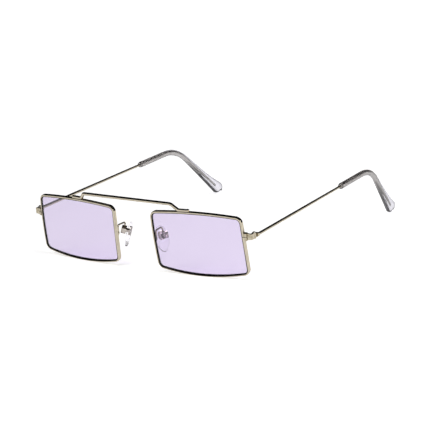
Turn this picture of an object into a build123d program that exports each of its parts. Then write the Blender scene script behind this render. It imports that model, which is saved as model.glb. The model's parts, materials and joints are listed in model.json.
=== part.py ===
from build123d import *
import os
from math import asin, cos, degrees, radians, sin, tan

# Narrow rectangle sunglasses: thin wire rims hung from a brow bar, clear nose pads on wire
# arms, wire temples with ridged cores inside clear tips. Millimetres and degrees.
#
# The pieces are modelled as worn: the origin lies between the lenses, +X towards the wearer's
# left, +Y towards the ears, +Z up. Everything but the brow bar is made once, on the wearer's
# left, and mirrored. At the end the glasses are put down on their rims and temple tips.

os.makedirs("parts", exist_ok=True)

# Lens opening, measured along the middle of the rim wire
lens_width = 46.4
lens_height = 26.8
top_arch = 1.45
bottom_arch = 2.2
side_arch = 0.25
bottom_skew = 1.2
corner_radius = 2.8
bridge_gap = 21.4
base_curve = 250.0
lens_tilt = 4.4
lens_wrap = 5.7

# Rim wire and the groove that holds the lens
rim_width = 1.2
rim_depth = 1.9
rim_edge = 0.45
groove_depth = 0.4
groove_width = 0.8
lens_thickness = 1.3
lens_clearance = 0.05
split_gap = 0.3

# Closing block at the temporal side of the rim
block_width = 1.4
block_height = 3.4
block_depth = 2.0
block_corner = 0.3
block_screw_radius = 0.35
block_head_radius = 0.55
block_head_height = 0.4
screw_slot_width = 0.2
screw_slot_depth = 0.2
screw_clearance = 0.02
relief_gap = 0.12

# End plate and hinge
hinge_out = 3.9
hinge_back = 2.85
hinge_height = 5.0
plate_thickness = 1.0
plate_reach = 0.7
plate_end_height = 2.6
plate_corner = 0.6
knuckle_radius = 1.0
knuckle_height = 0.85
knuckle_gap = 0.06
leaf_web = 1.2
leaf_clearance = 0.15
hinge_screw_radius = 0.4
hinge_head_radius = 0.7
hinge_head_height = 0.4
running_clearance = 0.03
shoulder_length = 1.3
shoulder_height = 1.8
shoulder_width = 1.5
shoulder_corner = 0.35
wire_seat = 1.1

# Temple wire, which runs outside the hinge, and its ridged core
temple_radius = 0.6
temple_offset = 0.7
temple_splay = 2.0
temple_roll = 9.3
tip_start = 79.6
bend_start = 100.2
bend_radius = 21.2
bend_angle = 46.9
core_leg = 27.2
core_radius = 0.6
rib_radius = 0.8
rib_width = 0.5
rib_pitch = 1.4
collar_radius = 0.95
collar_length = 1.5

# Clear temple tip
tip_radius = 1.5
tip_lip = 0.3
tip_neck = 0.8
tip_neck_radius = 1.15
tip_leg = 31.6
paddle_width = 6.4
paddle_thickness = 3.0
paddle_lean = 1.1
paddle_slant = 2.8
paddle_toe_radius = 2.6
paddle_heel_radius = 1.3

# Brow bar
bar_radius = 0.6
bar_half = 24.9
bar_rise = 5.5
bar_forward = 1.6
bar_shift = 2.2
bar_bend = 1.6
foot_slant = 3.0
foot_length = 4.8
foot_width = 1.5
foot_height = 0.8
foot_ball = 0.72

# Nose pad, its insert and its box
pad_in = 1.3
pad_back = 7.6
pad_drop = 2.2
pad_splay = 28.0
pad_lean = 17.0
pad_top_radius = 2.4
pad_belly_radius = 3.5
pad_belly_rise = 5.0
pad_toe_radius = 1.6
pad_length = 12.4
pad_thickness = 2.3
pad_edge = 0.9
pad_gap = 0.4
insert_length = 4.4
insert_width = 3.2
insert_thickness = 0.5
lug_rise = 1.7
lug_radius = 0.75
lug_width = 2.6
lug_reach = 0.9
stem_height = 1.0
box_wall = 0.5
box_lid = 0.8
box_corner = 0.9
box_play = 0.15
pad_screw_radius = 0.3
pad_head_radius = 0.55
pad_head_height = 0.35

# Pad arm wire
arm_radius = 0.4
arm_bend = 1.1
arm_back = 1.6
arm_root_drop = 1.0
arm_rise = 4.9

# One overrun for every cut and every prism that a sphere trims
overrun = 6.0

# Shares of the tip's leg, width and thickness, and of its backward lean. The last lies past the
# tip's end, which a rounded outline trims.
tip_shares = (
    (0.00, 0.47, 0.98, 0.00),
    (0.32, 0.50, 0.98, 0.02),
    (0.62, 0.63, 0.93, 0.18),
    (0.90, 0.92, 0.82, 0.75),
    (1.16, 1.12, 0.68, 1.20),
)


def turned(vector, angle):
    """A vector turned about +Z."""
    return Vector(*vector).rotate(Axis.Z, angle)


# Planes and points that the pieces share
lens_x = turned((1, 0, 0), lens_wrap)
lens_normal = turned((0, -cos(radians(lens_tilt)), -sin(radians(lens_tilt))), lens_wrap)
lens_plane = Plane(origin=((bridge_gap + lens_width) / 2, 0, 0), x_dir=lens_x, z_dir=lens_normal)
sphere_centre = lens_plane.from_local_coords((0, 0, -base_curve))


def on_lens(across, up, forward=0.0):
    """The point of the lens sphere at across and up, moved forward along the lens's normal."""
    sag = (across ** 2 + up ** 2) / (2 * base_curve)
    return lens_plane.from_local_coords((across, up, forward - sag))


rim_side = lens_width / 2 + side_arch + bottom_skew / 4
rim_outer = on_lens(rim_side, hinge_height)
hinge_point = rim_outer + Vector(hinge_out, hinge_back, 0)
temple_line = turned((0, 1, 0), temple_splay)
leaf_plane = Plane(origin=hinge_point, x_dir=temple_line, z_dir=(0, 0, 1))
temple_side = leaf_plane.y_dir.reverse().rotate(Axis((0, 0, 0), temple_line), temple_roll)
temple_plane = Plane(origin=leaf_plane.from_local_coords((0, -temple_offset, 0)),
                     x_dir=temple_line, z_dir=temple_side)

nose_side = on_lens(bottom_skew / 2 - lens_width / 2 - side_arch, 0)
pad_centre = nose_side + Vector(-pad_in, pad_back, -pad_drop)
pad_normal = turned((-cos(radians(pad_lean)), 0, -sin(radians(pad_lean))), -pad_splay)
pad_plane = Plane(origin=pad_centre, x_dir=turned((0, -1, 0), -pad_splay), z_dir=pad_normal)


def disc(plane, radius):
    """A round face on plane."""
    with BuildSketch(plane) as face:
        Circle(radius)
    return face.sketch


def slab(plane, width, height, corner=0.0):
    """A rectangle on plane, with round corners where corner isn't zero."""
    with BuildSketch(plane) as face:
        Rectangle(width, height)
        if corner:
            fillet(face.vertices(), corner)
    return face.sketch


def on_temple(along):
    """A point of the temple's straight run, this far behind the hinge."""
    return temple_plane.from_local_coords((along, 0, 0))


def temple_square(along):
    """The plane square to the temple's straight run, this far behind the hinge."""
    return Plane(on_temple(along), leaf_plane.y_dir, temple_line)


def rim_outline(grow):
    """The face inside the rim wire's middle line, grown by grow, behind the lens."""
    half_width = lens_width / 2
    half_height = lens_height / 2
    top_in = (-half_width, half_height)
    top_out = (half_width, half_height)
    low_in = (bottom_skew - half_width, -half_height)
    low_out = (bottom_skew + half_width, -half_height)
    with BuildSketch(lens_plane.offset(-overrun)) as outline:
        with BuildLine():
            ThreePointArc(top_in, (0, half_height + top_arch), top_out)
            ThreePointArc(top_out, (half_width + side_arch + bottom_skew / 2, 0), low_out)
            ThreePointArc(low_out, (bottom_skew, -half_height - bottom_arch), low_in)
            ThreePointArc(low_in, (bottom_skew / 2 - half_width - side_arch, 0), top_in)
        make_face()
        fillet(outline.vertices(), corner_radius)
        offset(amount=grow)
    return outline.sketch


def dished_plate(grow, thickness):
    """The rim's outline, grown by grow, cut from the lens sphere at this thickness."""
    with BuildPart() as plate:
        extrude(rim_outline(grow), amount=2 * overrun)
        with Locations(sphere_centre):
            Sphere(base_curve + thickness / 2, mode=Mode.INTERSECT)
            Sphere(base_curve - thickness / 2, mode=Mode.SUBTRACT)
    return plate.part


def slotted_screw(plane, radius, length, head_radius, head_height):
    """A screw whose cheese head stands on plane, with its shank on the other side."""
    with BuildPart() as screw:
        extrude(disc(plane, head_radius), amount=head_height)
        slot = slab(plane.offset(head_height), 2 * head_radius + overrun, screw_slot_width)
        extrude(slot, amount=-screw_slot_depth, mode=Mode.SUBTRACT)
        extrude(disc(plane, radius), amount=-length)
    return screw.part


# Rim: a flat wire bent to the lens's outline, dished to its sphere, grooved inside and split
# at the temporal side
with BuildPart() as rim:
    add(dished_plate(rim_width / 2, rim_depth))
    extrude(rim_outline(-rim_width / 2), amount=2 * overrun, mode=Mode.SUBTRACT)
    fillet(rim.edges(), rim_edge)
    add(dished_plate(groove_depth - rim_width / 2, groove_width), mode=Mode.SUBTRACT)
    with BuildSketch(lens_plane.offset(-overrun)):
        with Locations((rim_side, hinge_height)):
            Rectangle(2 * rim_width + 2 * side_arch, split_gap)
    extrude(amount=2 * overrun, mode=Mode.SUBTRACT)

# Lens: a dished plate whose edge is stepped down to a tongue for the groove
with BuildPart() as lens:
    add(dished_plate(-rim_width / 2 - lens_clearance, lens_thickness))
    add(dished_plate(groove_depth - rim_width / 2 - lens_clearance,
                     groove_width - 2 * lens_clearance))

# Closing block: two halves brazed to the rim's ends, pulled together by a screw from below
screw_across = rim_side + rim_width / 2 + block_width / 2
block_across = rim_side + (rim_width / 2 + block_width) / 2
block_sag = (rim_side ** 2 + hinge_height ** 2) / (2 * base_curve)


def block_level(across, up):
    """The plane across the closing block at this height over its middle, facing up the lens."""
    origin = lens_plane.from_local_coords((across, hinge_height + up, -block_sag))
    return Plane(origin=origin, x_dir=lens_x, z_dir=lens_plane.y_dir)


def closing_half(low, high):
    """One half of the closing block, from low to high, fitted round the rim's outer wall."""
    with BuildPart() as half:
        extrude(slab(block_level(block_across, low), rim_width / 2 + block_width, block_depth,
                     block_corner), amount=high - low)
        extrude(rim_outline(rim_width / 2), amount=2 * overrun, mode=Mode.SUBTRACT)
        extrude(disc(block_level(screw_across, low), block_screw_radius + screw_clearance),
                amount=high - low, mode=Mode.SUBTRACT)
    return half.part


with BuildPart() as block_upper:
    add(closing_half(split_gap / 2, block_height / 2))
with BuildPart() as block_lower:
    add(closing_half(-block_height / 2, -split_gap / 2))
with BuildPart() as block_screw:
    underside = block_level(screw_across, -block_height / 2)
    add(slotted_screw(Plane(underside.origin, underside.x_dir, -underside.z_dir),
                      block_screw_radius, block_height, block_head_radius, block_head_height))

# End plate: tapers from the closing block's upper half outwards to the hinge, clear of the
# lower half
plate_start = on_lens(rim_side + rim_width / 2, hinge_height)
plate_length = hinge_point.X + plate_reach - plate_start.X
plate_back = plate_start.Y + (plate_thickness + block_depth) / 4
with BuildPart() as end_plate:
    with BuildSketch(Plane((plate_start.X, plate_back, hinge_point.Z), (1, 0, 0), (0, -1, 0))):
        with BuildLine():
            Polyline((0, -block_height / 2), (plate_length, -plate_end_height / 2),
                     (plate_length, plate_end_height / 2), (0, block_height / 2), close=True)
        make_face()
    extrude(amount=plate_thickness)
    outer_edges = end_plate.edges().filter_by(Axis.Z).group_by(Axis.X)[-1]
    fillet(outer_edges.sort_by(Axis.Y)[0], plate_corner)
    extrude(slab(block_level(block_across, -block_height), rim_width / 2 + block_width,
                 block_depth + overrun), amount=2 * block_height, mode=Mode.SUBTRACT)
    extrude(slab(block_level(block_across, -block_height),
                 rim_width / 2 + block_width + 2 * relief_gap, block_depth + overrun),
            amount=block_height + split_gap / 2, mode=Mode.SUBTRACT)

# Hinge: two fixed knuckles on the end plate, one turning knuckle on the temple, one screw
level = knuckle_height + knuckle_gap
hinge_half = 1.5 * knuckle_height + knuckle_gap


def knuckle(middle, plane, reach, height):
    """A knuckle round the hinge screw at a height over the middle, with its web along plane's x."""
    base = Plane(hinge_point, plane.x_dir, plane.z_dir).offset(middle - height / 2)
    with BuildPart() as piece:
        extrude(disc(base, knuckle_radius), amount=height)
        with BuildSketch(base):
            with Locations((reach / 2, 0)):
                Rectangle(reach, leaf_web)
        extrude(amount=height)
    return piece.part


front_reach = hinge_point.Y - plate_back
front_plane = Plane(origin=hinge_point, x_dir=(0, -1, 0), z_dir=(0, 0, 1))
with BuildPart() as front_leaf:
    for middle in (-level, level):
        add(knuckle(middle, front_plane, front_reach, knuckle_height))
    spine = front_reach - knuckle_radius - leaf_clearance
    with BuildSketch(front_plane.offset(-hinge_half)):
        with Locations((front_reach - spine / 2, 0)):
            Rectangle(spine, leaf_web)
    extrude(amount=2 * hinge_half)
    extrude(disc(front_plane.offset(-hinge_half), hinge_screw_radius + screw_clearance),
            amount=2 * hinge_half, mode=Mode.SUBTRACT)

with BuildPart() as temple_leaf:
    shoulder_start = knuckle_radius + leaf_clearance
    add(knuckle(0, leaf_plane, shoulder_start, knuckle_height))
    extrude(slab(Plane(leaf_plane.from_local_coords((shoulder_start, -temple_offset / 2, 0)),
                       leaf_plane.y_dir, temple_line),
                 shoulder_width + temple_offset, shoulder_height, shoulder_corner),
            amount=shoulder_length)
    extrude(disc(leaf_plane.offset(-hinge_half), hinge_screw_radius + running_clearance),
            amount=2 * hinge_half, mode=Mode.SUBTRACT)
    seat_end = shoulder_start + shoulder_length
    extrude(disc(temple_square(seat_end), temple_radius + screw_clearance), amount=-wire_seat,
            mode=Mode.SUBTRACT)

with BuildPart() as hinge_screw:
    add(slotted_screw(front_plane.offset(hinge_half), hinge_screw_radius, 2 * hinge_half,
                      hinge_head_radius, hinge_head_height))

# Temple: one wire from the hinge, bent down and in behind the ear, its end a ribbed core
bend_tangent = bend_radius * tan(radians(bend_angle / 2))
leg_x = cos(radians(bend_angle))
leg_y = -sin(radians(bend_angle))
corner_x = bend_start + bend_tangent


def on_leg(along):
    """A point of the temple's leg, this far down from the end of its bend."""
    reach = bend_tangent + along
    return temple_plane.from_local_coords((corner_x + reach * leg_x, reach * leg_y, 0))


def temple_rod(start, leg_end, radius):
    """A round rod along the temple's line, from start to leg_end down the leg."""
    with BuildPart() as rod:
        with BuildLine():
            FilletPolyline(on_temple(start), on_temple(corner_x), on_leg(leg_end),
                           radius=bend_radius)
        with BuildSketch(temple_square(start)):
            Circle(radius)
        sweep()
    return rod.part


with BuildPart() as temple:
    add(temple_rod(tip_start, core_leg, core_radius))
    wire_start = seat_end - wire_seat
    extrude(disc(temple_square(wire_start), temple_radius), amount=tip_start - wire_start)
    extrude(disc(temple_square(tip_start), collar_radius), amount=collar_length)
    rib_count = int((bend_start - tip_start - collar_length) / rib_pitch)
    for rib in range(rib_count):
        rib_end = tip_start + collar_length + rib_pitch * (rib + 1)
        extrude(disc(temple_square(rib_end), rib_radius), amount=-rib_width)

# Clear tip: a necked sleeve over the core that swells down the leg into a flat paddle, whose
# end slants up towards the back
leg_direction = temple_line * leg_x + temple_plane.y_dir * leg_y
leg_side = temple_plane.z_dir.cross(leg_direction)

with BuildPart() as paddle:
    for along, width, thickness, lean in tip_shares:
        centre = on_leg(tip_leg * along) + leg_side * (paddle_lean * lean)
        with BuildSketch(Plane(centre, leg_side, leg_direction)):
            Ellipse(paddle_width * width / 2, paddle_thickness * thickness / 2)
    loft()
    side_view = Plane(on_leg(0), leg_direction, leg_side.cross(leg_direction))
    with BuildSketch(side_view.offset(-overrun)) as end_outline:
        front = paddle_width / 2 - paddle_lean
        rear = -paddle_width / 2 - paddle_lean
        with BuildLine():
            Polyline((0, front), (tip_leg, front), (tip_leg + paddle_slant, rear), (0, rear),
                     close=True)
        make_face()
        fillet(end_outline.vertices().sort_by(Axis.X)[-1], paddle_heel_radius)
        front_side = end_outline.vertices().group_by(Axis.Y)[-1]
        fillet(front_side.sort_by(Axis.X)[-1], paddle_toe_radius)
    extrude(amount=2 * overrun, mode=Mode.INTERSECT)

with BuildPart() as tip:
    add(temple_rod(tip_start, tip_leg * tip_shares[1][0], tip_radius))
    add(paddle.part)
    fillet(tip.faces().sort_by(Axis.Y)[0].edges(), tip_lip)
    extrude(disc(temple_square(tip_start), tip_neck_radius), amount=-tip_neck)
    extrude(disc(temple_square(tip_start), temple_radius + screw_clearance), amount=-tip_neck,
            mode=Mode.SUBTRACT)
    extrude(disc(temple_square(tip_start), collar_radius + screw_clearance),
            amount=collar_length + screw_clearance, mode=Mode.SUBTRACT)
    add(temple_rod(tip_start, core_leg, rib_radius + screw_clearance), mode=Mode.SUBTRACT)

# Brow bar: one wire above the rims; each end drops to a flat foot that ends in a small ball on
# top of the rim
top_normal = lens_plane.y_dir


def bar_side(side):
    """Corner, foot start and foot end of the bar's wire on one side, 1 left or -1 right."""
    corner = Vector(side * bar_half - bar_shift, bar_y, bar_z)
    start_across = side * corner.X + foot_slant - lens_plane.origin.X
    ends = []
    for across in (start_across, start_across + foot_length):
        arch = top_arch * (1 - (2 * across / lens_width) ** 2)
        rise = lens_height / 2 + arch + rim_width / 2 + foot_height / 2
        point = on_lens(across, rise)
        ends.append(Vector(side * point.X, point.Y, point.Z))
    return [corner, *ends]


bar_z = lens_height / 2 + bar_rise
bar_y = on_lens(bar_half - lens_plane.origin.X, lens_height / 2).Y - bar_forward
with BuildPart() as brow_bar:
    right_end = bar_side(-1)
    left_end = bar_side(1)
    with BuildLine():
        FilletPolyline(*reversed(right_end), *left_end, radius=bar_bend)
    with BuildSketch(Plane(right_end[2], z_dir=right_end[1] - right_end[2])):
        Circle(bar_radius)
    sweep()
    for _, start, end in (right_end, left_end):
        flat = Plane((start + end) / 2, x_dir=end - start, z_dir=top_normal)
        with BuildSketch(flat.offset(-foot_height / 2)):
            SlotCenterToCenter(foot_length, foot_width)
        extrude(amount=foot_height)
        with Locations(end):
            Sphere(foot_ball)
    rim_prism = extrude(rim_outline(rim_width / 2), amount=2 * overrun, mode=Mode.PRIVATE)
    add(rim_prism, mode=Mode.SUBTRACT)
    mirror(rim_prism, about=Plane.YZ, mode=Mode.SUBTRACT)

# Nose pad: clear silicone moulded over a metal insert, whose lug rocks on a screw in a small box
box_front = -pad_thickness / 2 - pad_gap
box_axis = box_front - lug_reach
box_depth = lug_reach + lug_radius + box_play + box_wall
cavity_width = lug_width + box_play
cavity_height = 2 * (lug_radius + box_play)
box_width = cavity_width + 2 * box_wall
box_height = cavity_height + 2 * box_lid


def pad_level(forward, across=0.0, up=0.0):
    """The pad's own plane, moved towards the nose by forward, and across and up in itself."""
    return Plane(pad_plane.from_local_coords((across, up, forward)), pad_plane.x_dir, pad_normal)


def pad_axle(across):
    """The plane square to the pad's screw, this far across the pad."""
    origin = pad_plane.from_local_coords((across, lug_rise, box_axis))
    return Plane(origin, pad_plane.y_dir, pad_plane.x_dir)


with BuildPart() as pad_insert:
    with BuildSketch(pad_level(-insert_thickness / 2, up=lug_rise)):
        SlotOverall(insert_length, insert_width, rotation=90)
    extrude(amount=insert_thickness)
    extrude(slab(pad_level(box_axis, up=lug_rise), lug_width, stem_height), amount=-box_axis)
    extrude(disc(pad_axle(-lug_width / 2), lug_radius), amount=lug_width)
    extrude(disc(pad_axle(-lug_width / 2), pad_screw_radius + running_clearance),
            amount=lug_width, mode=Mode.SUBTRACT)

with BuildPart() as nose_pad:
    with BuildSketch(pad_level(-pad_thickness / 2)):
        with Locations((0, pad_toe_radius - pad_length / 2)):
            Circle(pad_toe_radius)
        with Locations((0, pad_belly_rise - pad_length / 2)):
            Circle(pad_belly_radius)
        with Locations((0, pad_length / 2 - pad_top_radius)):
            Circle(pad_top_radius)
        make_hull()
    extrude(amount=pad_thickness)
    skins = nose_pad.faces().sort_by(Axis(pad_centre, pad_normal))
    fillet(skins[0].edges() + skins[-1].edges(), pad_edge)
    add(pad_insert.part, mode=Mode.SUBTRACT)

with BuildPart() as pad_box:
    extrude(slab(pad_level(box_front, up=lug_rise), box_width, box_height, box_corner),
            amount=-box_depth)
    extrude(slab(pad_level(box_front, up=lug_rise), cavity_width, cavity_height),
            amount=box_wall - box_depth, mode=Mode.SUBTRACT)
    extrude(disc(pad_axle(-box_width / 2), pad_screw_radius + screw_clearance),
            amount=box_width, mode=Mode.SUBTRACT)

with BuildPart() as pad_screw:
    far_cheek = pad_axle(-box_width / 2)
    add(slotted_screw(Plane(far_cheek.origin, far_cheek.x_dir, -far_cheek.z_dir),
                      pad_screw_radius, box_width, pad_head_radius, pad_head_height))

# Pad arm: a wire brazed behind the rim that rises, loops over and comes down on the pad's box
arm_root = nose_side - Vector(0, 0, arm_root_drop)
arm_knee = arm_root + Vector(0, arm_back, 0)
arm_shoulder = arm_knee + Vector(0, 0, arm_rise)
arm_end = pad_level(box_front - box_depth / 2, up=lug_rise + box_height / 2).origin
arm_loop = arm_end + pad_plane.y_dir * ((arm_shoulder.Z - arm_end.Z) / pad_plane.y_dir.Z)
with BuildPart() as pad_arm:
    with BuildLine():
        FilletPolyline(arm_root, arm_knee, arm_shoulder, arm_loop, arm_end, radius=arm_bend)
    with BuildSketch(Plane(arm_root, z_dir=(0, 1, 0))):
        Circle(arm_radius)
    sweep()
    add(dished_plate(rim_width / 2, rim_depth), mode=Mode.SUBTRACT)

# The glasses put down: turned about X until the rims and the tips touch one floor
worn = {
    "rim": rim, "lens": lens, "block_upper": block_upper, "block_lower": block_lower,
    "block_screw": block_screw, "end_plate": end_plate, "hinge_front_leaf": front_leaf,
    "hinge_temple_leaf": temple_leaf, "hinge_screw": hinge_screw, "temple": temple,
    "temple_tip": tip, "pad_arm": pad_arm, "pad_box": pad_box, "pad_insert": pad_insert,
    "pad_screw": pad_screw, "nose_pad": nose_pad,
}


def box_at(piece, angle):
    """The bounding box of a piece turned about X by this angle."""
    return piece.part.rotate(Axis.X, angle).bounding_box()


rest_angle = 0.0
wheelbase = box_at(tip, rest_angle).max.Y - box_at(rim, rest_angle).min.Y
for _ in range(5):
    step = box_at(rim, rest_angle).min.Z - box_at(tip, rest_angle).min.Z
    rest_angle += degrees(asin(step / wheelbase))

rested = [box_at(piece, rest_angle) for piece in (*worn.values(), brow_bar)]
floor = min(box.min.Z for box in rested)
middle = (min(box.min.Y for box in rested) + max(box.max.Y for box in rested)) / 2
rest = Location((0, -middle, -floor), (rest_angle, 0, 0))


def write(name, solid):
    """Puts one piece in its resting place and writes it as a node."""
    with BuildPart() as placed:
        add(solid.moved(rest))
    placed.part.label = name
    export_step(placed.part, f"parts/{name}.step")


for name, piece in worn.items():
    write("left_" + name, piece.part)
    write("right_" + name, mirror(piece.part, about=Plane.YZ))
write("brow_bar", brow_bar.part)

# Where the joints lie on the wearer's left, put down with the rest
turn = Location((0, 0, 0), (rest_angle, 0, 0))
for name, point, line in (
    ("temple hinge", hinge_point, Vector(0, 0, 1)),
    ("pad rock", pad_axle(0).origin, pad_plane.x_dir),
    ("tip end", on_leg(tip_leg), leg_direction),
    ("lens middle", lens_plane.origin, lens_normal),
    ("pad middle", pad_centre, pad_normal),
):
    place = (rest * Pos(point)).position
    way = (turn * Pos(line)).position
    print(name, [round(value, 5) for value in (*place, *way)])
print("resting angle", round(rest_angle, 4), "floor", round(floor, 4), "middle", round(middle, 4))
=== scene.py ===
"""Narrow rectangle sunglasses: the finishes, the moulded and soldered details, the stage and
the camera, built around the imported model.

Places come from the frame. Sizes are in metres, unless a name ends in mm.
"""

import json
import logging
import math
from dataclasses import dataclass, replace
from enum import Enum

import bpy
import numpy as np
from mathutils import Matrix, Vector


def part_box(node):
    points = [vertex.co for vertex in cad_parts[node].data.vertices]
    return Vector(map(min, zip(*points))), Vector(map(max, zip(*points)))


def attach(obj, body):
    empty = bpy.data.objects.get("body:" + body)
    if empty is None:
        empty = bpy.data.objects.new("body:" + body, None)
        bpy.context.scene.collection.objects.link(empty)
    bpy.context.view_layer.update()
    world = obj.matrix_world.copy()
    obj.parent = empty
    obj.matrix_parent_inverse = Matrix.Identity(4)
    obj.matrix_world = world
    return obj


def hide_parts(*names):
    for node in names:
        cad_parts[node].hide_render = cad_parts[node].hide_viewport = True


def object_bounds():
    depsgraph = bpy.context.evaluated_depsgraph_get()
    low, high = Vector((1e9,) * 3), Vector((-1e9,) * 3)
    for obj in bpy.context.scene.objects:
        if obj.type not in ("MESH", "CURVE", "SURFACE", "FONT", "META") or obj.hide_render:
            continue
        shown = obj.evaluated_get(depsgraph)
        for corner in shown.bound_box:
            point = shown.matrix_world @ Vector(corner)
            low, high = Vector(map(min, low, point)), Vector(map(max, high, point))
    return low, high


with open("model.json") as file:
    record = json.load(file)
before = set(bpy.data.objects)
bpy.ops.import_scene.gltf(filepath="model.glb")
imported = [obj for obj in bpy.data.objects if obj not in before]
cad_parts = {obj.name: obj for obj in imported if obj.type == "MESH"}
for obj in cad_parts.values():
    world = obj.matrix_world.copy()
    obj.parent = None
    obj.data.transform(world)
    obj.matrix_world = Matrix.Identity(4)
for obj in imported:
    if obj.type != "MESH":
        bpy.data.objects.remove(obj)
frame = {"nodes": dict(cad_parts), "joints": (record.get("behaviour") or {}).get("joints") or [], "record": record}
cad_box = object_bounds()

log = logging.getLogger("sunglasses")
MM = 0.001
UP = np.array([0.0, 0.0, 1.0])


class Side(Enum):
    """The wearer's side of a piece."""

    LEFT = "left"
    RIGHT = "right"

    @property
    def sign(self) -> int:
        """+1 on the wearer's left, which is +X, and -1 on the right."""
        return 1 if self is Side.LEFT else -1

    def named(self, name: str) -> str:
        """The name of this side's node, body or joint."""
        return f"{self.value}_{name}"


def linear(hex_colour: str) -> tuple[float, float, float, float]:
    """Turns an sRGB hex colour to linear RGBA.

    Args:
        hex_colour: Six hex digits, such as "E0D8C6".

    Returns:
        The linear red, green, blue and an alpha of 1.
    """
    srgb = np.array([int(hex_colour[i:i + 2], 16) for i in (0, 2, 4)]) / 255
    values = np.where(srgb <= 0.04045, srgb / 12.92, ((srgb + 0.055) / 1.055) ** 2.4)
    return (*values.tolist(), 1.0)


def unit(vector: np.ndarray) -> np.ndarray:
    """The vector with a length of 1."""
    return vector / np.linalg.norm(vector)


def signed_power(values: np.ndarray, power: np.ndarray | float) -> np.ndarray:
    """The values' sizes raised to a power, with their signs kept."""
    return np.sign(values) * np.abs(values) ** power


def read_all(rows: bpy.types.bpy_prop_collection, field: str, width: int,
             kind: type) -> np.ndarray:
    """Reads one field of all vertices or corners of a mesh.

    Args:
        rows: The mesh's vertices or loops.
        field: The field's name.
        width: How many values a row holds.
        kind: The type of the values.

    Returns:
        An array of n by width.
    """
    values = np.empty(len(rows) * width, kind)
    rows.foreach_get(field, values)
    return values.reshape(-1, width)


def node_vertices(name: str) -> np.ndarray:
    """The vertices of a CAD node at rest.

    Args:
        name: The node's name.

    Returns:
        An array of n by 3, in metres.
    """
    return read_all(frame["nodes"][name].data.vertices, "co", 3, np.float32).astype(float)


def joint(name: str) -> tuple[np.ndarray, np.ndarray]:
    """Where a joint lies.

    Args:
        name: The joint's name in the record.

    Returns:
        Its point and its axis.
    """
    found = next(row for row in frame["joints"] if row["name"] == name)
    return np.array(found["pos_m"]), unit(np.array(found["axis"], float))


def ring_face(points: np.ndarray) -> tuple[np.ndarray, np.ndarray]:
    """Where the end ring of a round rod faces.

    Args:
        points: The ring's vertices, n by 3.

    Returns:
        The ring's middle, and the direction in which it spreads least, towards +Y.
    """
    middle = points.mean(0)
    normal = np.linalg.svd(points - middle, full_matrices=False)[2][2]
    return middle, normal * np.sign(normal[1])


def shade_smoothly(mesh: bpy.types.Mesh) -> None:
    """Marks every face of a mesh as smooth."""
    mesh.polygons.foreach_set("use_smooth", np.ones(len(mesh.polygons), bool))


def in_scene(name: str, data: bpy.types.ID) -> bpy.types.Object:
    """Puts a mesh, a lamp or a camera into the scene.

    Args:
        name: The new object's name.
        data: What the object holds.

    Returns:
        The new object, at the origin.
    """
    piece = bpy.data.objects.new(name, data)
    bpy.context.scene.collection.objects.link(piece)
    return piece


def skin(name: str, rings: np.ndarray, first: np.ndarray, last: np.ndarray) -> bpy.types.Object:
    """A closed surface over a row of rings, with a fan to a point at each end.

    Args:
        name: The new object's name.
        rings: The rings, rows by columns by 3, turning clockwise as the rows come nearer.
        first: The point that closes the first ring.
        last: The point that closes the last ring.

    Returns:
        The new object, smoothly shaded and at the origin.
    """
    rows, columns = rings.shape[:2]
    ids = np.arange(rows * columns).reshape(rows, columns)
    around = np.roll(ids, -1, axis=1)
    quads = np.stack([ids[:-1], around[:-1], around[1:], ids[1:]], 2).reshape(-1, 4)
    first_id, last_id = rows * columns, rows * columns + 1
    start = np.stack([np.full(columns, first_id), around[0], ids[0]], 1)
    end = np.stack([np.full(columns, last_id), ids[-1], around[-1]], 1)
    mesh = bpy.data.meshes.new(name)
    mesh.from_pydata(np.vstack([rings.reshape(-1, 3), first, last]).tolist(), [],
                     [*quads.tolist(), *start.tolist(), *end.tolist()])
    shade_smoothly(mesh)
    return in_scene(name, mesh)


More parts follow.
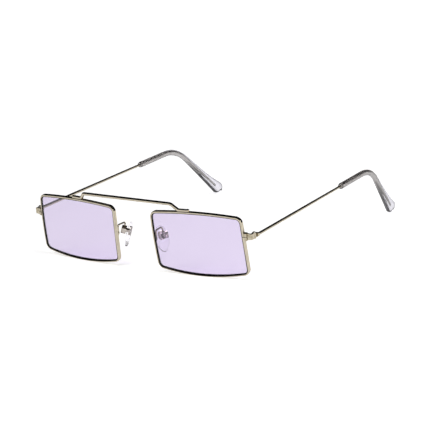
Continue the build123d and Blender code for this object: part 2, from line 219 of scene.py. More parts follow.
class Shader:
    """The node tree of a material or of the world, with one way to add a node."""

    def __init__(self, owner: bpy.types.Material | bpy.types.World) -> None:
        """Empties the tree.

        Args:
            owner: The material or the world that the tree belongs to.
        """
        owner.use_nodes = True
        self.owner = owner
        self.tree = owner.node_tree
        self.tree.nodes.clear()

    def add(self, kind: str, settings: dict | None = None, **inputs: object) -> bpy.types.Node:
        """Adds a node with its settings and links.

        Args:
            kind: The node's type, without "ShaderNode".
            settings: Attributes to set on the node.
            **inputs: Socket names, with _ for a space, or in0, in1 for a socket's number. A
                value is set and an output socket is linked.

        Returns:
            The new node.
        """
        node = self.tree.nodes.new("ShaderNode" + kind)
        for key, value in (settings or {}).items():
            setattr(node, key, value)
        for key, value in inputs.items():
            if key[:2] == "in" and key[2:].isdigit():
                socket = node.inputs[int(key[2:])]
            else:
                socket = node.inputs[key.replace("_", " ")]
            if isinstance(value, bpy.types.NodeSocket):
                self.tree.links.new(value, socket)
            else:
                socket.default_value = value
        return node

    def grain(self, size_mm: float, detail: float = 3.0) -> bpy.types.NodeSocket:
        """A noise in Object coordinates whose grains are size_mm wide.

        Args:
            size_mm: The width of a grain.
            detail: How many finer layers the noise has.

        Returns:
            The noise's factor socket.
        """
        place = self.add("TexCoord")
        noise = self.add("TexNoise", Vector=place.outputs["Object"], Scale=1 / (size_mm * MM),
                         Detail=detail)
        return noise.outputs["Fac"]

    def between(self, factor: bpy.types.NodeSocket, low: float, high: float,
                start: float = 0.3, end: float = 0.7) -> bpy.types.NodeSocket:
        """A factor's values from start to end, spread from low to high.

        Args:
            factor: The factor, such as a noise, mostly from 0.3 to 0.7.
            low: What start becomes.
            high: What end becomes.
            start: The factor's low mark.
            end: The factor's high mark.

        Returns:
            The spread value's socket.
        """
        spread = self.add("MapRange", Value=factor, From_Min=start, From_Max=end, To_Min=low,
                          To_Max=high)
        return spread.outputs["Result"]

    def mixed(self, factor: bpy.types.NodeSocket, first: object, second: object) -> \
            bpy.types.NodeSocket:
        """A colour between two colours.

        Args:
            factor: 0 for the first and 1 for the second.
            first: A hex colour or a colour socket.
            second: A hex colour or a colour socket.

        Returns:
            The mixed colour's socket.
        """
        mix = self.add("Mix", {"data_type": "RGBA"}, Factor=factor)
        # Of a Mix node's sockets, 6 and 7 take its two colours and 2 gives the mixed one.
        for number, colour in ((6, first), (7, second)):
            if isinstance(colour, str):
                mix.inputs[number].default_value = linear(colour)
            else:
                self.tree.links.new(colour, mix.inputs[number])
        return mix.outputs[2]

    def relief(self, height: bpy.types.NodeSocket, depth_mm: float) -> bpy.types.NodeSocket:
        """A bump of this depth.

        Args:
            height: The height socket, from 0 to 1.
            depth_mm: The depth from the lowest to the highest point.

        Returns:
            The bump's normal socket.
        """
        bump = self.add("Bump", Height=height, Distance=depth_mm * MM, Strength=1.0)
        return bump.outputs["Normal"]

    def show(self, socket: bpy.types.NodeSocket) -> bpy.types.Material | bpy.types.World:
        """Links the last shader to the output.

        Args:
            socket: The last shader's socket.

        Returns:
            The tree's owner.
        """
        world = isinstance(self.owner, bpy.types.World)
        self.add("OutputWorld" if world else "OutputMaterial", Surface=socket)
        return self.owner


@dataclass(frozen=True)
class PlatedMetal:
    """Nickel silver wire or sheet, polished and plated: a mirror with faint polishing marks.

    The plating's pale champagne comes from a thin gold flash over nickel, so it shows the room
    with a slight warm tint.
    """

    name: str
    colour: str
    dull_colour: str
    smooth: float
    rough: float
    grain_mm: float = 0.35
    wear_mm: float = 2.4
    relief_mm: float = 0.0012
    grain_layers: float = 2.0
    wear_layers: float = 4.0

    def coat(self, shader: Shader) -> tuple[bpy.types.NodeSocket, bpy.types.NodeSocket]:
        """The plating's colour and roughness, which follow its wear.

        Args:
            shader: The material's tree.

        Returns:
            The two sockets.
        """
        wear = shader.grain(self.wear_mm, self.wear_layers)
        worn = shader.between(wear, 0.0, 1.0)
        return (shader.mixed(worn, self.colour, self.dull_colour),
                shader.between(wear, self.smooth, self.rough))

    def face(self, shader: Shader) -> bpy.types.NodeSocket:
        """The metal's own shader.

        Args:
            shader: The material's tree.

        Returns:
            Its socket.
        """
        colour, roughness = self.coat(shader)
        polish = shader.grain(self.grain_mm, self.grain_layers)
        metal = shader.add("BsdfPrincipled", Metallic=1.0, Base_Color=colour,
                           Roughness=roughness, Normal=shader.relief(polish, self.relief_mm))
        return metal.outputs["BSDF"]

    def material(self) -> bpy.types.Material:
        """Builds the metal."""
        shader = Shader(bpy.data.materials.new(self.name))
        return shader.show(self.face(shader))


@dataclass(frozen=True)
class TempleMetal(PlatedMetal):
    """The plated temple, whose core in the clear tip is bare, matt and grey."""

    core_start: float = 0.0
    core_colour: str = "D9D6CE"
    core_rough: float = 0.42
    step: float = 0.4 * MM

    def coat(self, shader: Shader) -> tuple[bpy.types.NodeSocket, bpy.types.NodeSocket]:
        """The colour and roughness, which turn bare where Y passes core_start.

        Args:
            shader: The material's tree.

        Returns:
            The two sockets.
        """
        plated, gloss = super().coat(shader)
        place = shader.add("TexCoord")
        parts = shader.add("SeparateXYZ", in0=place.outputs["Object"])
        bare = shader.between(parts.outputs["Y"], 0.0, 1.0, self.core_start,
                              self.core_start + self.step)
        # Of a Mix node's sockets, 2 and 3 take its two numbers.
        matt = shader.add("Mix", {"data_type": "FLOAT"}, Factor=bare, in2=gloss,
                          in3=self.core_rough)
        return shader.mixed(bare, plated, self.core_colour), matt.outputs[0]


@dataclass(frozen=True)
class RimMetal(PlatedMetal):
    """The plated rim wire, whose grooved inner wall is painted near black as shade.

    The wall is found by its normal, which points to the lens's middle: its cosine with the way
    to the middle rises from wall_start to wall_end where the wall begins. The wall is painted near
    black: painted shade of the groove and a painted reflection of the dark room. Below the lens
    this painted shade reaches further round the wire, by low_reach of that cosine.
    """

    middle: tuple[float, float, float] = (0.0, 0.0, 0.0)
    # Painted shade: near black, in place of the groove's shade and the dark room it mirrors.
    wall_colour: str = "0C090E"
    wall_start: float = 0.04
    wall_end: float = 0.22
    low_reach: float = 0.45

    def face(self, shader: Shader) -> bpy.types.NodeSocket:
        """The shader of the plated wire and of its dark wall.

        Args:
            shader: The material's tree.

        Returns:
            Its socket.
        """
        plated = super().face(shader)
        place = shader.add("TexCoord")
        way = shader.add("VectorMath", {"operation": "SUBTRACT"}, in0=self.middle,
                         in1=place.outputs["Object"])
        way = shader.add("VectorMath", {"operation": "NORMALIZE"}, in0=way.outputs[0])
        facing = shader.add("VectorMath", {"operation": "DOT_PRODUCT"}, in0=way.outputs[0],
                            in1=place.outputs["Normal"])
        rise = shader.add("SeparateXYZ", in0=way.outputs[0])
        # Painted shade reaches further round the lower wire.
        low = shader.between(rise.outputs["Z"], 0.0, self.low_reach, 0.0, 1.0)
        level = shader.add("Math", {"operation": "ADD"}, in0=facing.outputs["Value"], in1=low)
        wall = shader.between(level.outputs[0], 0.0, 1.0, self.wall_start, self.wall_end)
        # Painted shade: a dark diffuse in place of the shaded wall.
        painted_shade = shader.add("BsdfDiffuse", Color=linear(self.wall_colour))
        both = shader.add("MixShader", in0=wall, in1=plated, in2=painted_shade.outputs[0])
        return both.outputs["Shader"]


@dataclass(frozen=True)
class ClearPlastic:
    """A clear or tinted polymer: cast, moulded or cut and polished, seen by its refraction.

    Lamps shine through it, so its shadow is a faint tint and not a black shape. Towards its
    outline the eye looks along the wall, so the tint deepens to rim_colour there.
    """

    name: str
    colour: str
    shadow: str
    ior: float
    smooth: float
    rough: float
    grain_mm: float
    relief_mm: float
    rim_colour: str
    rim_start: float = 0.45
    rim_end: float = 0.95

    def surface(self, shader: Shader) -> bpy.types.NodeSocket:
        """The normal socket of the surface's faint unevenness."""
        return shader.relief(shader.grain(self.grain_mm), self.relief_mm)

    def tint(self, shader: Shader) -> bpy.types.NodeSocket:
        """The colour, which deepens as the wall turns from the eye.

        Args:
            shader: The material's tree.

        Returns:
            Its socket.
        """
        facing = shader.add("LayerWeight", Blend=0.5)
        deep = shader.between(facing.outputs["Facing"], 0.0, 1.0, self.rim_start, self.rim_end)
        return shader.mixed(deep, self.colour, self.rim_colour)

    def body(self, shader: Shader) -> bpy.types.NodeSocket:
        """The plastic's own shader.

        Args:
            shader: The material's tree.

        Returns:
            Its socket.
        """
        body = shader.add(
            "BsdfPrincipled", Base_Color=self.tint(shader), IOR=self.ior,
            Roughness=shader.between(shader.grain(self.grain_mm), self.smooth, self.rough),
            Normal=self.surface(shader), Transmission_Weight=1.0)
        return body.outputs["BSDF"]

    def material(self) -> bpy.types.Material:
        """Builds the clear plastic.

        Returns:
            Its material.
        """
        shader = Shader(bpy.data.materials.new(self.name))
        light = shader.add("LightPath")
        open_way = shader.add("BsdfTransparent", Color=linear(self.shadow))
        mix = shader.add("MixShader", in0=light.outputs["Is Shadow Ray"],
                         in1=self.body(shader), in2=open_way.outputs["BSDF"])
        return shader.show(mix.outputs["Shader"])


@dataclass(frozen=True)
class WalledAcetate(ClearPlastic):
    """Clear acetate whose side walls get a painted reflection of the dark room, by the tip's map."""

    # Painted reflection: the near black of the dark room on the thick walls.
    wall_colour: str = "0D0C11"

    def tint(self, shader: Shader) -> bpy.types.NodeSocket:
        """The colour socket, turning to the painted reflection, wall_colour, where the map rises to 1."""
        walls = shader.add("Attribute", {"attribute_name": TempleTip.map_name})
        return shader.mixed(walls.outputs["Fac"], super().tint(shader), self.wall_colour)


@dataclass(frozen=True)
class LensPlastic(ClearPlastic):
    """Tinted polycarbonate whose ground edge is painted dark as the shadow of its groove.

    The edge is found by its normal: its cosine with the lens's own axis falls from edge_end to
    edge_start there.
    """

    axis: tuple[float, float, float] = (0.0, -1.0, 0.0)
    # Painted shadow: the groove's shade on the ground edge.
    edge_shadow_colour: str = "1C1620"
    edge_start: float = 0.35
    edge_end: float = 0.60

    def body(self, shader: Shader) -> bpy.types.NodeSocket:
        """The shader of the polished faces and of the ground edge, painted dark as shadow.

        Args:
            shader: The material's tree.

        Returns:
            Its socket.
        """
        clear = super().body(shader)
        place = shader.add("TexCoord")
        facing = shader.add("VectorMath", {"operation": "DOT_PRODUCT"}, in0=self.axis,
                            in1=place.outputs["Normal"])
        level = shader.add("Math", {"operation": "ABSOLUTE"}, in0=facing.outputs["Value"])
        face = shader.between(level.outputs[0], 0.0, 1.0, self.edge_start, self.edge_end)
        # Painted shadow: a dark diffuse on the ground edge.
        painted_edge_shadow = shader.add("BsdfDiffuse", Color=linear(self.edge_shadow_colour))
        both = shader.add("MixShader", in0=face, in1=painted_edge_shadow.outputs[0], in2=clear)
        return both.outputs["Shader"]


@dataclass(frozen=True)
class RidgedSilicone(ClearPlastic):
    """Clear silicone moulded with fine ridges across the pad, which grip the skin."""

    ridge_mm: float = 0.6
    ridge_depth_mm: float = 0.05

    def surface(self, shader: Shader) -> bpy.types.NodeSocket:
        """The ridges, which follow the pad's own map.

        The wave repeats after a tenth of pi over its scale.

        Args:
            shader: The material's tree.

        Returns:
            The socket of their normal.
        """
        place = shader.add("UVMap", {"uv_map": NosePad.map_name})
        wave = shader.add("TexWave", {"bands_direction": "Y"}, Vector=place.outputs["UV"],
                          Scale=math.pi / (10 * self.ridge_mm * MM))
        return shader.relief(wave.outputs["Fac"], self.ridge_depth_mm)


class Finish(Enum):
    """The finishes of the glasses, by the name of their material slot in the record.

    Marks of polishing and moulding are a few hundredths of a millimetre wide. They are drawn
    wider, as wide as it takes to break up a reflection in the render.
    """

    # Drawn wire, polished before plating: bright, with long even streaks of light and dark.
    FRAME_WIRE = PlatedMetal("champagne_plated_nickel_silver", "C4BBA8", "B4AB98",
                             smooth=0.05, rough=0.11)
    # Struck blocks and leaves, barely polished: dents break their reflections into spots.
    STRUCK_METAL = PlatedMetal("champagne_plated_stamping", "C4BBA8", "A0967F", smooth=0.06,
                               rough=0.14, grain_mm=1.2, wear_mm=1.2, relief_mm=0.16)
    # Thin stamped sheet, nickel without the gold flash: greyer and slightly wavy.
    PAD_METAL = PlatedMetal("nickel_plated_stamping", "C6BFB8", "ADA59E", smooth=0.08,
                            rough=0.16, grain_mm=1.1, relief_mm=0.07)
    # Screws left as they are turned: a pale steel that scatters the light a little.
    SCREW_STEEL = PlatedMetal("turned_stainless_steel", "CFCAC2", "B4AEA4", smooth=0.18,
                              rough=0.30, grain_mm=0.12)
    # Cut and polished sheet: clear lilac, without a flaw that the eye could find.
    LENS_TINT = LensPlastic("lilac_polycarbonate", "D6CBE4", shadow="E2DAEA", ior=1.5,
                            smooth=0.0, rough=0.01, grain_mm=8.0, relief_mm=0.0002,
                            rim_colour="CFC3DC")
    # Cast and tumbled acetate: glassy and faintly grey, much darker along its outline, where
    # its side walls carry a painted reflection of the dark room.
    CLEAR_ACETATE = WalledAcetate("clear_cellulose_acetate", "E4E2EA", shadow="E6E5EC",
                                  ior=1.48, smooth=0.01, rough=0.04, grain_mm=2.0,
                                  relief_mm=0.002, rim_colour="4E4A58")
    # Moulded silicone: almost unseen but for its outline. An IOR of 1.22, for 1.41, keeps it as
    # faint against white as in the photograph.
    CLEAR_SILICONE = RidgedSilicone("clear_moulded_silicone", "F8F7FA", shadow="F2F1F5",
                                    ior=1.22, smooth=0.03, rough=0.08, grain_mm=0.8,
                                    relief_mm=0.003, rim_colour="B4B0B8", rim_start=0.7,
                                    rim_end=1.0)

    @property
    def slot(self) -> str:
        """The record's material slot."""
        return self.name.lower()


class Finishes:
    """Every finish, built once, and who wears it.

    The struck nodes are barely polished, and brushed is the temples' roughness, from smooth to
    rough.
    """

    struck = ("block_upper", "block_lower", "end_plate", "hinge_front_leaf",
              "hinge_temple_leaf")
    brushed = (0.26, 0.36)

    def __init__(self) -> None:
        """Builds the materials."""
        self.built = {finish: finish.value.material() for finish in Finish}

    @staticmethod
    def coat(piece: bpy.types.Object, material: bpy.types.Material) -> None:
        """Gives a piece one material, in place of any that it had."""
        piece.data.materials.clear()
        piece.data.materials.append(material)

    def dress(self, piece: bpy.types.Object, finish: Finish) -> None:
        """Gives a piece one of the finishes.

        Args:
            piece: A CAD node's object or a new piece.
            finish: Its finish.
        """
        self.coat(piece, self.built[finish])

    def dress_side(self, side: Side) -> None:
        """Finishes what differs from its slot's finish, or by place from side to side.

        The blocks, end plates and leaves are struck. The lens's edge and the rim's wall are
        painted dark as shade, and the temple is brushed, and bare in the clear tip.

        Args:
            side: The wearer's side.
        """
        points = node_vertices(side.named("lens"))
        middle = (points.min(0) + points.max(0)) / 2
        axis = np.linalg.svd(points - middle, full_matrices=False)[2][2]
        plain = Finish.FRAME_WIRE.value
        plating = plain.colour, plain.dull_colour
        own = {
            "lens": replace(Finish.LENS_TINT.value, name=side.named("lilac_polycarbonate"),
                            axis=tuple(axis)),
            # The rim's material holds the painted shade of its wall.
            "rim": RimMetal(side.named("rim_plating"), *plating, plain.smooth, plain.rough,
                            middle=tuple(middle)),
            "temple": TempleMetal(side.named("temple_plating"), *plating, *self.brushed,
                                  core_start=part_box(side.named("temple_tip"))[0][1]),
        }
        for name in self.struck:
            self.dress(frame["nodes"][side.named(name)], Finish.STRUCK_METAL)
        for name, finish in own.items():
            self.coat(frame["nodes"][side.named(name)], finish.material())


@dataclass
class PackedNodes:
    """The CAD nodes that stay: they are smoothed and get their finish."""

    finishes: Finishes
    smooth_angle: float = math.radians(32)
    weld_distance: float = 0.002 * MM

    def smooth(self, piece: bpy.types.Object) -> None:
        """Shades a node smoothly up to smooth_angle, with its mesh as it was.

        Args:
            piece: The node's object.
        """
        shade_smoothly(piece.data)
        weld = piece.modifiers.new("weld", "WELD")
        weld.merge_threshold = self.weld_distance
        split = piece.modifiers.new("edges", "EDGE_SPLIT")
        split.split_angle = self.smooth_angle

    def build(self) -> list[bpy.types.Object]:
        """Dresses every CAD node by its slot in the record, and then what differs by side.

        Returns:
            The nodes' objects.
        """
        by_slot = {finish.slot: finish for finish in Finish}
        pieces = []
        for part in frame["record"]["subparts"]:
            pieces.append(frame["nodes"][part["node"]])
            self.smooth(pieces[-1])
            self.finishes.dress(pieces[-1], by_slot[part["material_slot"]])
        for side in Side:
            self.finishes.dress_side(side)
        return pieces


@dataclass
class PhotographedWire:
    """A wire as thick as the photograph shows it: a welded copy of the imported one, grown.

    Each vertex moves out along its normal by the growth, which fades to nothing over the fade's
    length before the end of the bare wire. The copy keeps under the top of the CAD box, and
    behind its front.
    """

    growth: float = 0.2 * MM
    fade: float = 0.6 * MM
    weld_distance: float = 0.001 * MM
    sharp_angle: float = math.radians(40)

    def merged(self, node: str) -> tuple[np.ndarray, np.ndarray]:
        """A CAD node's mesh with its loose triangles joined where their corners meet.

        Args:
            node: The node's name.

        Returns:
            The vertices, n by 3, and the triangles, m by 3.
        """
        points = node_vertices(node)
        keys = np.round(points / self.weld_distance).astype(np.int64)
        first, back = np.unique(keys, axis=0, return_index=True, return_inverse=True)[1:]
        corners = read_all(frame["nodes"][node].data.loops, "vertex_index", 1, np.int32)
        faces = back.reshape(-1)[corners.reshape(-1, 3)]
        whole = (faces != np.roll(faces, 1, axis=1)).all(1)
        return points[first], faces[whole]

    def build(self, node: str, body: str, end: float) -> bpy.types.Object:
        """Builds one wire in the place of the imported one.

        Args:
            node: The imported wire's node.
            body: The body that carries it.
            end: The Y at which the bare wire ends.

        Returns:
            The new wire.
        """
        points, faces = self.merged(node)
        mesh = bpy.data.meshes.new(f"{node}_wire")
        mesh.from_pydata(points.tolist(), [], faces.tolist())
        normals = read_all(mesh.vertices, "normal", 3, np.float32)
        share = np.clip((end - points[:, 1]) / self.fade, 0, 1)[:, None]
        grown = points + normals * share * self.growth
        grown[:, 1] += max(0.0, cad_box[0][1] - grown[:, 1].min())
        grown[:, 2] -= max(0.0, grown[:, 2].max() - cad_box[1][2])
        mesh.vertices.foreach_set("co", grown.astype(np.float32).ravel())
        shade_smoothly(mesh)
        mesh.set_sharp_from_angle(angle=self.sharp_angle)
        mesh.materials.append(frame["nodes"][node].data.materials[0])
        piece = in_scene(f"{node}_wire", mesh)
        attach(piece, body)
        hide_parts(node)
        return piece


class TempleLine:
    """The middle line of one temple: a straight run, a round bend and a straight leg.

    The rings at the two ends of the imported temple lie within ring_reach of its ends.
    """

    bend_radius = 21.2 * MM
    ring_reach = 4.0 * MM

    def __init__(self, side: Side) -> None:
        """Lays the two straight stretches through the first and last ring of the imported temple.

        Args:
            side: The wearer's side.
        """
        points = node_vertices(side.named("temple"))
        reach = points[:, 1]
        start, self.run = ring_face(points[reach < reach.min() + self.ring_reach])
        low, self.leg = ring_face(points[reach > reach.max() - self.ring_reach])
        self.out = unit(np.cross(self.leg, self.run))
        self.down = np.cross(self.run, self.out)
        self.down *= np.sign(self.down @ self.leg)
        self.bend = math.acos(self.run @ self.leg)
        offset = low - start
        fall = (offset @ self.down) / (self.leg @ self.down)
        self.corner = start + self.run * (offset @ self.run - fall * (self.leg @ self.run))
        self.tangent = self.bend_radius * math.tan(self.bend / 2)

    def along_run(self, points: np.ndarray) -> np.ndarray:
        """How far points lie along the run, from the start of the bend.

        Args:
            points: An array of n by 3.

        Returns:
            The distances, less than zero before the bend.
        """
        return (points - self.corner) @ self.run + self.tangent

    def stations(self, places: np.ndarray) -> tuple[np.ndarray, np.ndarray]:
        """The line's points and directions.

        Before 0 the line is straight. In the bend its direction turns evenly about the bend's
        middle, which lies bend_radius below the run, and past the bend it follows the leg.

        Args:
            places: Distances along the line from the start of the bend.

        Returns:
            The points and the unit directions, both n by 3.
        """
        turn = np.clip(places / self.bend_radius, 0, self.bend)[:, None]
        way = self.run * np.cos(turn) + self.down * np.sin(turn)
        begin = self.corner - self.run * self.tangent
        arc = begin + self.bend_radius * (self.run * np.sin(turn)
                                          + self.down * (1 - np.cos(turn)))
        before = np.minimum(places, 0)[:, None]
        after = np.maximum(places - self.bend_radius * self.bend, 0)[:, None]
        return arc + self.run * before + way * after, way


@dataclass
class TempleTip:
    """The clear tip, cast on its ridged core without an air gap, so that it magnifies it.

    Its sleeve is round. Down the leg each half of the section grows by its own power of the
    share of the leg, while the section squares into a superellipse, and the end slants and
    rounds over. The map holds how far each point's wall faces along the section's width, and
    so where the acetate's painted reflection of the dark room lies.
    """

    finishes: Finishes
    sleeve: float = 1.49 * MM
    neck: float = 1.14 * MM
    neck_length: float = 0.8 * MM
    lip: float = 0.3 * MM
    leg: float = 31.5 * MM
    rear_growth: float = 2.9 * MM
    rear_power: float = 3.2
    front_growth: float = 1.7 * MM
    front_power: float = 1.5
    thinning: float = 0.24
    squareness: float = 2.4
    slant: float = 2.0 * MM
    slant_power: float = 5.0
    end_length: float = 3.1 * MM
    toe_radius: float = 3.0 * MM
    heel_radius: float = 3.7 * MM
    edge_radius: float = 0.7 * MM
    # Strengths of the painted reflection on the front and rear walls.
    front_wall: float = 1.5
    rear_wall: float = 0.7
    wall_power: float = 1.7
    wall_growth: float = 0.45
    sharp_angle: float = math.radians(50)
    lip_rows: int = 6
    sleeve_rows: int = 15
    bend_rows: int = 27
    leg_rows: int = 43
    end_rows: int = 11
    columns: int = 72
    map_name = "painted_wall_reflection"

    def stretches(self, line: TempleLine, start: float) -> tuple[np.ndarray, ...]:
        """Where the rings lie along the line, from the neck to the end.

        Over the lip the radius swells from the sleeve's less the lip to the sleeve's, by the
        sine of a quarter turn. Over the end the rounding grows by one minus its cosine.

        Args:
            line: The temple's middle line.
            start: Where the sleeve starts, from the start of the bend.

        Returns:
            The rings' places, their radius before the leg, and their rounding, from 0 to 1.
        """
        lip = np.linspace(0, math.pi / 2, self.lip_rows)
        end = np.linspace(0, math.pi / 2, self.end_rows + 1)[1:]
        bend_end = line.bend_radius * line.bend
        leg_end = bend_end + self.leg
        neck = start - self.neck_length * np.array([1.0, 0.5, 0.0])
        mouth = start + self.lip * (1 - np.cos(lip))
        body = [np.linspace(low, high, rows + 1)[1:] for low, high, rows in (
            (mouth[-1], 0, self.sleeve_rows), (0, bend_end, self.bend_rows),
            (bend_end, leg_end - self.end_length, self.leg_rows))]
        close = leg_end - self.end_length * (1 - np.sin(end))
        places = np.concatenate([neck, mouth, *body, close])
        radius = np.full(len(places), self.sleeve)
        radius[:len(neck)] = self.neck
        radius[len(neck):len(neck) + len(lip)] -= self.lip * (1 - np.sin(lip))
        rounding = np.zeros(len(places))
        rounding[-len(end):] = 1 - np.cos(end)
        return places, radius, rounding

    def walls(self, turn: np.ndarray, share: np.ndarray) -> np.ndarray:
        """How far each point's wall faces along the section's width: the painted reflection's weight.

        It is the strength of the wall times the size of the turn's cosine and the share of the
        leg, each raised to its own power, and at most 1.

        Args:
            turn: The turns of a section's points.
            share: The rings' shares of the leg.

        Returns:
            The map, rows by columns, from 0 to 1.
        """
        strength = np.where(np.cos(turn) < 0, self.front_wall, self.rear_wall)
        facing = strength * np.abs(np.cos(turn)) ** self.wall_power
        return np.minimum(facing * share[:, None] ** self.wall_growth, 1)

    def rings(self, line: TempleLine, start: float) -> tuple[np.ndarray, np.ndarray]:
        """The tip's rings from the neck to the end.

        A point of a section lies at the half width times the cosine and the half thickness
        times the sine of its turn, both raised to the power of 2 over the superellipse's own.
        The thickness shrinks with the square of the share of the leg.

        Args:
            line: The temple's middle line.
            start: Where the sleeve starts, from the start of the bend.

        Returns:
            The rings, rows by columns by 3, and the map, rows by columns.
        """
        places, radius, rounding = self.stretches(line, start)
        share = np.clip((places - line.bend_radius * line.bend) / self.leg, 0, 1)
        rear = (radius + self.rear_growth * share ** self.rear_power
                - self.heel_radius * rounding)
        front = (radius + self.front_growth * share ** self.front_power
                 - self.toe_radius * rounding)
        half = radius - self.sleeve * self.thinning * share ** 2 - self.edge_radius * rounding
        turn = np.linspace(0, 2 * math.pi, self.columns, endpoint=False)
        power = 2 / (2 + self.squareness * share)[:, None]
        cosine = signed_power(np.cos(turn), power)
        sine = signed_power(np.sin(turn), power)
        across = np.where(cosine > 0, rear[:, None], front[:, None]) * cosine
        slant = self.slant * share ** self.slant_power
        forward = slant[:, None] * (across + front[:, None]) / (rear + front)[:, None]
        middle, way = line.stations(places)
        upward = np.cross(line.out, way)
        rings = (middle[:, None] + way[:, None] * forward[..., None]
                 + upward[:, None] * across[..., None]
                 + line.out * (half[:, None] * sine)[..., None])
        return rings, self.walls(turn, share)

    def build(self, side: Side) -> bpy.types.Object:
        """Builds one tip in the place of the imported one.

        Args:
            side: The wearer's side.

        Returns:
            The new tip.
        """
        line = TempleLine(side)
        node = side.named("temple_tip")
        start = line.along_run(node_vertices(node)).min() + self.neck_length
        rings, walls = self.rings(line, start)
        piece = skin(side.named("cast_tip"), rings, rings[0].mean(0), rings[-1].mean(0))
        piece.data.set_sharp_from_angle(angle=self.sharp_angle)
        levels = piece.data.attributes.new(self.map_name, "FLOAT", "POINT")
        neck_and_end = 0, 1
        levels.data.foreach_set("value", np.append(walls, neck_and_end).astype(np.float32))
        self.finishes.dress(piece, Finish.CLEAR_ACETATE)
        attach(piece, side.named("temple_unit"))
        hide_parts(node)
        return piece


@dataclass
class NosePad:
    """A moulded silicone pad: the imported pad's outline with domed faces and a soft edge."""

    finishes: Finishes
    columns: int = 96
    rows: int = 40
    edge_share: float = 0.45
    dome_share: float = 0.75
    least_cosine: float = 0.1
    map_name = "pad_face"

    def outline(self, flat: np.ndarray, turn: np.ndarray) -> np.ndarray:
        """How far the outline of flat points lies from their middle at each turn.

        In each direction the points reach to a support line. The outline lies where the first
        of these lines crosses the way out: its reach over the cosine between the two. Lines
        that run nearly along the way out, with less than least_cosine, don't count.

        Args:
            flat: The points in the pad's plane, n by 2.
            turn: The angles.

        Returns:
            The radius at each angle.
        """
        ways = np.stack([np.cos(turn), np.sin(turn)], 1)
        reach = (flat @ ways.T).max(0)
        cosine = ways @ ways.T
        crossing = reach / np.maximum(cosine, self.least_cosine)
        return np.where(cosine > self.least_cosine, crossing, np.inf).min(1)

    def axes(self, side: Side, points: np.ndarray) -> np.ndarray:
        """The pad's own axes: across it, up its length and out of its inner face.

        Args:
            side: The wearer's side.
            points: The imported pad's vertices.

        Returns:
            The three unit vectors, as rows.
        """
        across = joint(side.named("pad_rock"))[1]
        across = across * np.sign(-across[1])
        facing = np.linalg.svd(points - points.mean(0), full_matrices=False)[2][2]
        facing = unit(facing - across * (facing @ across))
        facing = facing * -np.sign(facing[0]) * side.sign
        up = np.cross(facing, across)
        return np.stack([across, up * np.sign(up[2]), facing])

    def rings(self, local: np.ndarray) -> tuple[np.ndarray, np.ndarray]:
        """The pad's rings and its two poles about its middle, in its own axes.

        From pole to pole of a half turn, the outline is scaled by the turn's sine and the half
        thickness by its cosine, each raised to its own power, which flattens both faces.

        Args:
            local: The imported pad's vertices about its middle, in its own axes.

        Returns:
            The rings, rows by columns by 3, and the poles, 2 by 3.
        """
        turn = np.linspace(0, 2 * math.pi, self.columns, endpoint=False)
        circle = np.stack([np.cos(turn), np.sin(turn)], 1)
        outline = self.outline(local[:, :2], turn)[:, None] * circle
        fall = np.linspace(0, math.pi, self.rows + 2)[1:-1]
        share = np.sin(fall) ** self.edge_share
        thick = local[:, 2].max()
        height = np.broadcast_to(signed_power(np.cos(fall), self.dome_share)[:, None, None],
                                 (self.rows, self.columns, 1)) * thick
        rings = np.concatenate([share[:, None, None] * outline, height], 2)
        return rings, np.array([[0, 0, thick], [0, 0, -thick]])

    def build(self, side: Side) -> bpy.types.Object:
        """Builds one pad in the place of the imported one.

        Args:
            side: The wearer's side.

        Returns:
            The new pad.
        """
        node = side.named("nose_pad")
        points = node_vertices(node)
        axes = self.axes(side, points)
        local = points @ axes.T
        middle = (local.min(0) + local.max(0)) / 2
        rings, poles = self.rings(local - middle)
        rows, poles = (rings + middle) @ axes, (poles + middle) @ axes
        if np.linalg.det(axes) > 0:
            rows = rows[:, ::-1]
        piece = skin(side.named("moulded_pad"), rows, *poles)
        mesh = piece.data
        corners = read_all(mesh.loops, "vertex_index", 1, np.int32)[:, 0]
        places = read_all(mesh.vertices, "co", 3, np.float32)
        face = (places @ axes.T - middle)[corners][:, :2]
        mesh.uv_layers.new(name=self.map_name).uv.foreach_set("vector", face.ravel())
        self.finishes.dress(piece, Finish.CLEAR_SILICONE)
        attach(piece, side.named("pad_unit"))
        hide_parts(node)
        return piece


@dataclass
class SolderBead:
    """The small hollow skirt of solder round the root of a wire.

    Its radius shrinks from the wire's plus the reach to the wire's, by one minus the sine of a
    quarter turn, while its height rises by one minus the cosine.
    """

    finishes: Finishes
    wire: float = 0.40 * MM
    reach: float = 0.45 * MM
    rise: float = 0.55 * MM
    sunk: float = 0.25 * MM
    columns: int = 32
    rows: int = 8

    def build(self, side: Side) -> bpy.types.Object:
        """Builds the bead at the root of one pad arm.

        The root is the middle of the arm's foremost points. The arm leaves it square to X and
        to the hinge's axis.

        Args:
            side: The wearer's side.

        Returns:
            The new bead.
        """
        arm = node_vertices(side.named("pad_arm"))
        root = arm[arm[:, 1] < arm[:, 1].min() + self.wire].mean(0)
        hinge_line = joint(side.named("temple_fold"))[1] * side.sign
        way = unit(np.cross(hinge_line, (1, 0, 0)))
        first = unit(np.cross(way, UP))
        second = np.cross(way, first)
        share = np.linspace(0, math.pi / 2, self.rows)
        radius = self.wire + self.reach * (1 - np.sin(share))
        height = self.rise * (1 - np.cos(share))
        radius = np.concatenate([radius[:1], radius])
        height = np.concatenate([[-self.sunk], height])
        turn = np.linspace(0, 2 * math.pi, self.columns, endpoint=False)
        circle = first * np.cos(turn)[:, None] + second * np.sin(turn)[:, None]
        rings = root + radius[:, None, None] * circle + height[:, None, None] * way
        piece = skin(side.named("arm_solder"), rings, root - way * self.sunk,
                     root + way * self.rise)
        self.finishes.dress(piece, Finish.FRAME_WIRE)
        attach(piece, "front")
        return piece


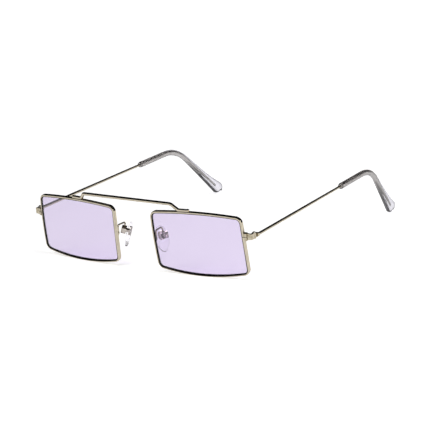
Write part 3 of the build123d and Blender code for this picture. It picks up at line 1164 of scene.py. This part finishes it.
@dataclass(frozen=True)
class Lamp:
    """A square soft lamp that faces the glasses: its place, its side and its power in watts.

    The metal shows a mirrored lamp as a highlight, and only feels the light of the others.
    """

    name: str
    place: tuple[float, float, float]
    size: float
    power: float
    mirrored: bool = False

    def build(self) -> None:
        """Hangs the lamp."""
        data = bpy.data.lights.new(self.name, "AREA")
        data.size = self.size
        data.energy = self.power
        piece = in_scene(self.name, data)
        piece.visible_glossy = self.mirrored
        back = unit(np.array(self.place))
        side = unit(np.cross(UP, back))
        turn = np.eye(4)
        turn[:3] = np.stack([side, np.cross(back, side), back, self.place], 1)
        piece.matrix_world = Matrix(turn.tolist())


@dataclass
class Studio:
    """A white sweep under soft lamps, in a room that is dark behind and above the glasses."""

    floor_radius: float = 1.6
    floor_sides: int = 96
    floor_colour: str = "F0F0F0"
    near_glow: float = 0.37
    far_glow: float = 0.98
    far: float = 0.9
    glow_middle: tuple[float, float, float] = (-0.30, -0.22, 0.0)
    sweep_colour: str = "F4F2EF"
    wall_colour: str = "2C2A2B"
    ceiling_colour: str = "0B0A0D"
    sweep_height: float = 0.03
    wall_height: float = 0.10
    ceiling_height: float = 0.28
    lamps: tuple[Lamp, ...] = (
        Lamp("key_softbox", (-0.4, -1.1, 1.35), size=1.0, power=12.0),
        Lamp("side_softbox", (1.4, -0.15, 0.64), size=0.42, power=5.0, mirrored=True),
        Lamp("top_softbox", (0.3, -0.1, 1.8), size=0.9, power=8.0),
    )

    def floor(self) -> None:
        """A round white floor, which glows for the eye, for metal and for glass.

        Lamps of its own light the sweep, so the glow grows away from glow_middle. A point of
        its edge lies floor_radius from the middle, at an even angle.
        """
        turn = np.linspace(0, 2 * math.pi, self.floor_sides, endpoint=False)
        edge = np.stack([np.cos(turn), np.sin(turn), np.zeros_like(turn)], 1) * self.floor_radius
        mesh = bpy.data.meshes.new("floor")
        mesh.from_pydata(edge.tolist(), [], [list(range(self.floor_sides))])
        shader = Shader(bpy.data.materials.new("white_sweep_paper"))
        light = shader.add("LightPath")
        seen = shader.add("Math", {"operation": "MAXIMUM"}, in0=light.outputs["Is Camera Ray"],
                          in1=light.outputs["Is Glossy Ray"])
        seen = shader.add("Math", {"operation": "MAXIMUM"}, in0=seen.outputs[0],
                          in1=light.outputs["Is Transmission Ray"])
        place = shader.add("TexCoord")
        away = shader.add("VectorMath", {"operation": "DISTANCE"}, in0=place.outputs["Object"],
                          in1=self.glow_middle)
        level = shader.between(away.outputs["Value"], self.near_glow, self.far_glow, 0.0, self.far)
        glow = shader.add("Math", {"operation": "MULTIPLY"}, in0=seen.outputs[0], in1=level)
        paper = shader.add("BsdfDiffuse", Color=linear(self.floor_colour))
        shine = shader.add("Emission", Strength=glow.outputs[0])
        both = shader.add("AddShader", in0=paper.outputs[0], in1=shine.outputs[0])
        mesh.materials.append(shader.show(both.outputs[0]))
        piece = in_scene("floor", mesh)

    def room(self) -> None:
        """The room's light by height: the white sweep, then dim walls and a dark ceiling."""
        world = bpy.data.worlds.new("studio_room")
        bpy.context.scene.world = world
        shader = Shader(world)
        place = shader.add("TexCoord")
        height = shader.add("SeparateXYZ", in0=place.outputs["Generated"])
        ramp = shader.add("ValToRGB", in0=height.outputs["Z"])
        first, last = ramp.color_ramp.elements
        first.position, first.color = self.sweep_height, linear(self.sweep_colour)
        last.position, last.color = self.ceiling_height, linear(self.ceiling_colour)
        ramp.color_ramp.elements.new(self.wall_height).color = linear(self.wall_colour)
        light = shader.add("Background", Color=ramp.outputs["Color"])
        shader.show(light.outputs[0])

    def build(self) -> None:
        """Builds the floor, the room and the lamps."""
        self.floor()
        self.room()
        for lamp in self.lamps:
            lamp.build()


@dataclass
class Viewpoint:
    """The photograph's camera: where it stands, how it leans and how long its lens is."""

    azimuth: float = math.radians(34.75)
    elevation: float = math.radians(13.90)
    roll: float = math.radians(-2.65)
    distance: float = 1111.1 * MM
    across: float = -4.88 * MM
    rise: float = 9.20 * MM
    sensor_mm: float = 36.0
    focal_mm: float = 189.4
    nearest: float = 10 * MM

    def build(self) -> None:
        """Stands the camera and makes it the scene's."""
        back = np.array([math.sin(self.azimuth) * math.cos(self.elevation),
                         -math.cos(self.azimuth) * math.cos(self.elevation),
                         math.sin(self.elevation)])
        right = np.array([math.cos(self.azimuth), math.sin(self.azimuth), 0.0])
        up = np.cross(back, right)
        turn = math.cos(self.roll), math.sin(self.roll)
        right, up = right * turn[0] + up * turn[1], up * turn[0] - right * turn[1]
        data = bpy.data.cameras.new("camera")
        data.sensor_width = self.sensor_mm
        data.lens = self.focal_mm
        data.clip_start = self.nearest
        camera = in_scene("camera", data)
        stand = back * self.distance + right * self.across + up * self.rise
        place = np.eye(4)
        place[:3] = np.stack([right, up, back, stand], 1)
        camera.matrix_world = Matrix(place.tolist())
        bpy.context.scene.camera = camera


def main() -> None:
    """Builds the glasses' looks, the studio and the camera."""
    logging.basicConfig(level=logging.INFO, format="%(name)s: %(message)s")
    finishes = Finishes()
    wire, tip = PhotographedWire(), TempleTip(finishes)
    pad, bead = NosePad(finishes), SolderBead(finishes)
    pieces = PackedNodes(finishes).build()
    pieces.append(wire.build("brow_bar", "front", math.inf))
    for side in Side:
        tip_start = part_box(side.named("temple_tip"))[0][1]
        pieces += [wire.build(side.named("temple"), side.named("temple_unit"), tip_start),
                   tip.build(side), pad.build(side), bead.build(side)]
    for piece in pieces:
        log.info("%s in %s, %d faces", piece.name, piece.data.materials[0].name,
                 len(piece.data.polygons))
    Studio().build()
    Viewpoint().build()
    bpy.context.scene.view_settings.view_transform = "Standard"


if __name__ == "__main__":
    main()
